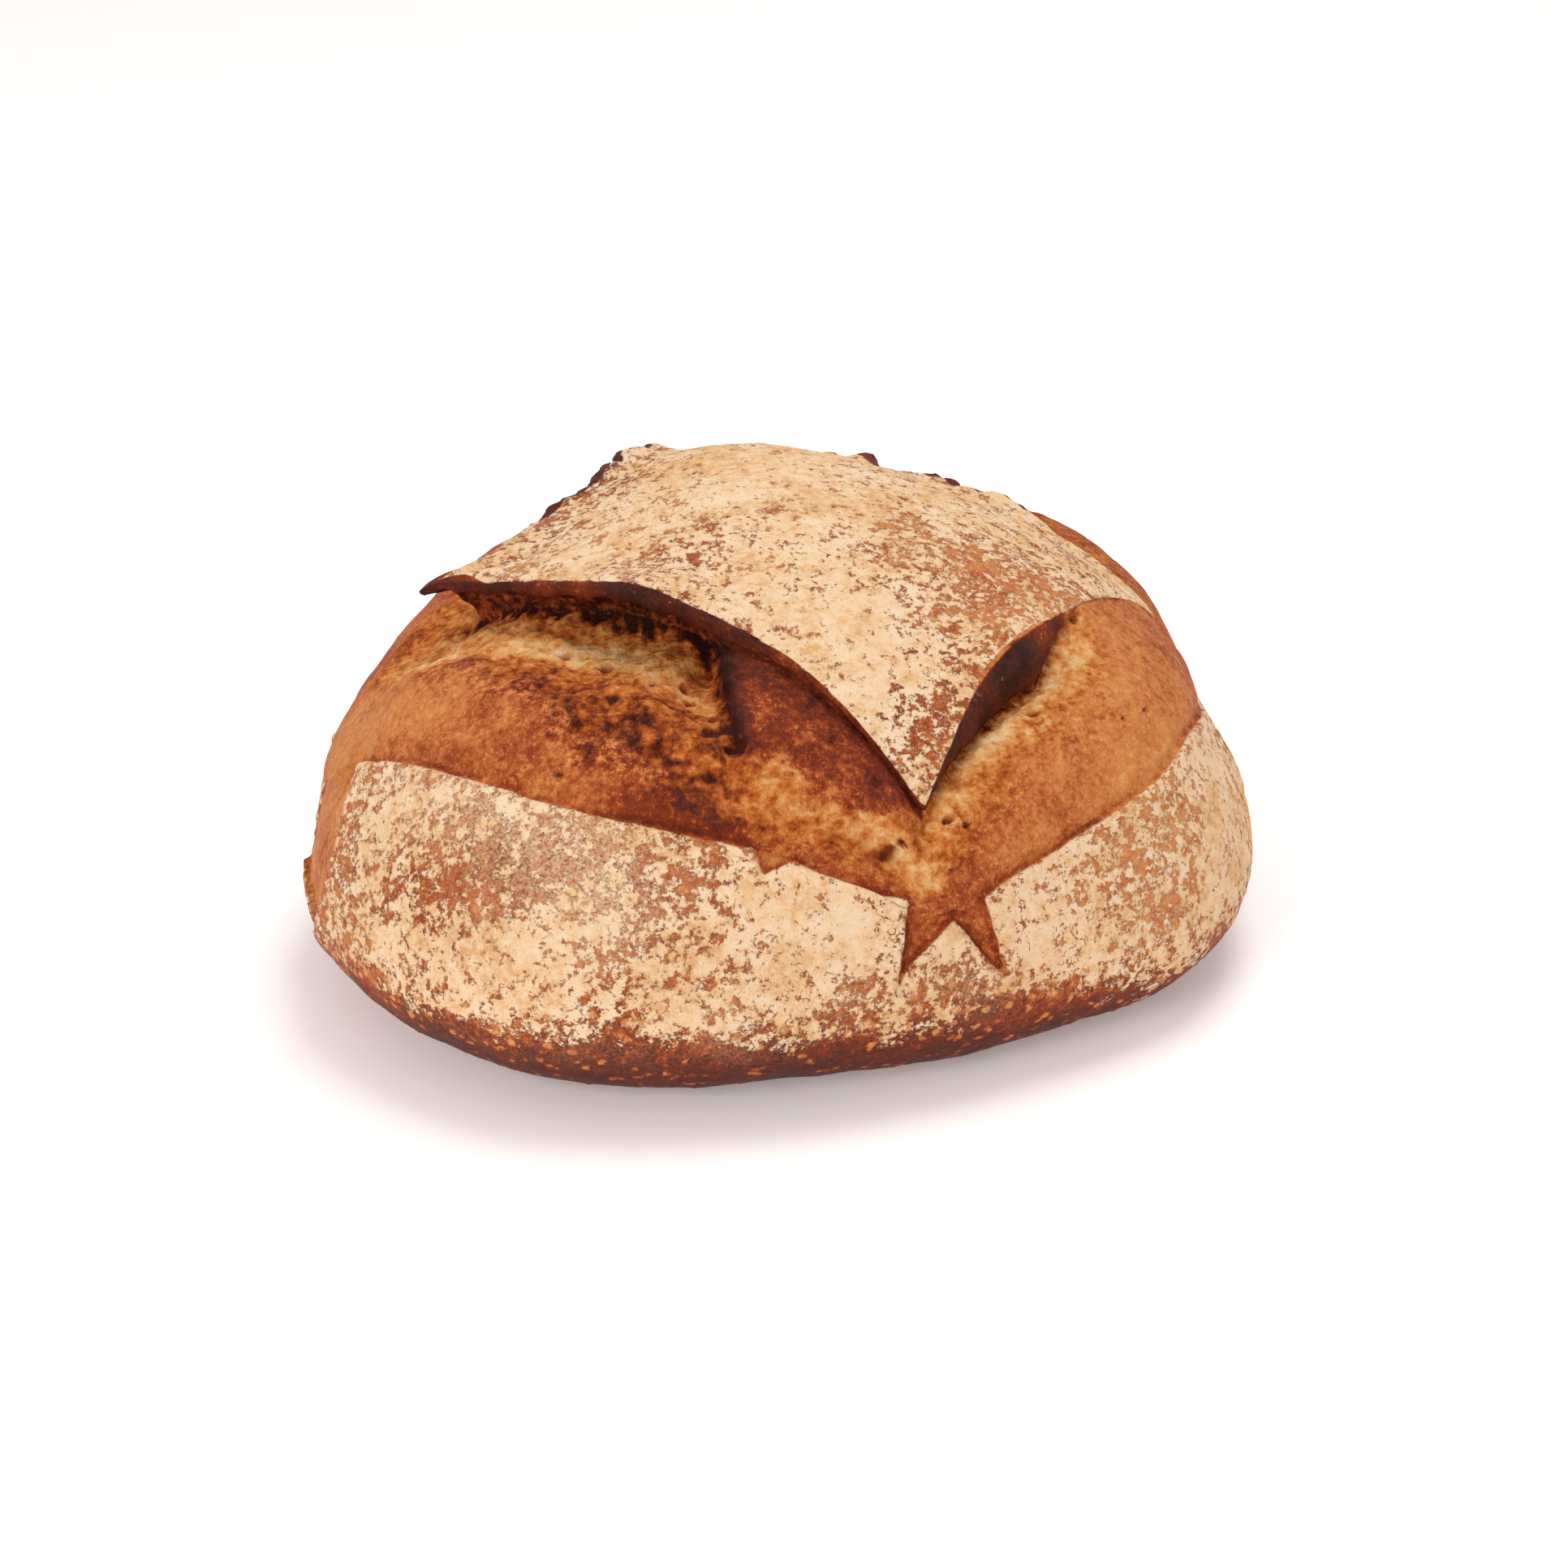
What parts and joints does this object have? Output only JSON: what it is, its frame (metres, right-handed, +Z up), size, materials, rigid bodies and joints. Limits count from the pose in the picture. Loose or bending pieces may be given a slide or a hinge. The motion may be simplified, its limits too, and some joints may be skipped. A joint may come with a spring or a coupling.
{
  "type": "sourdough loaf",
  "caption": "Round country sourdough loaf with a floury four-cornered cap, raised dark ears, torn openings along the crossing cuts, a dusted wall and a flat base to rest on.",
  "frame": {"origin": "Middle of the loaf's footprint box, on the surface that it rests on.", "axes": "+Z up; +X along the longest side of the footprint; -Y towards the side where the two front cuts cross."},
  "size_m": [0.2458, 0.2392, 0.1197],
  "materials": {
    "baked_crust": null
  },
  "bodies": {
    "root": {"loaf": "baked_crust"}
  },
  "joints": []
}
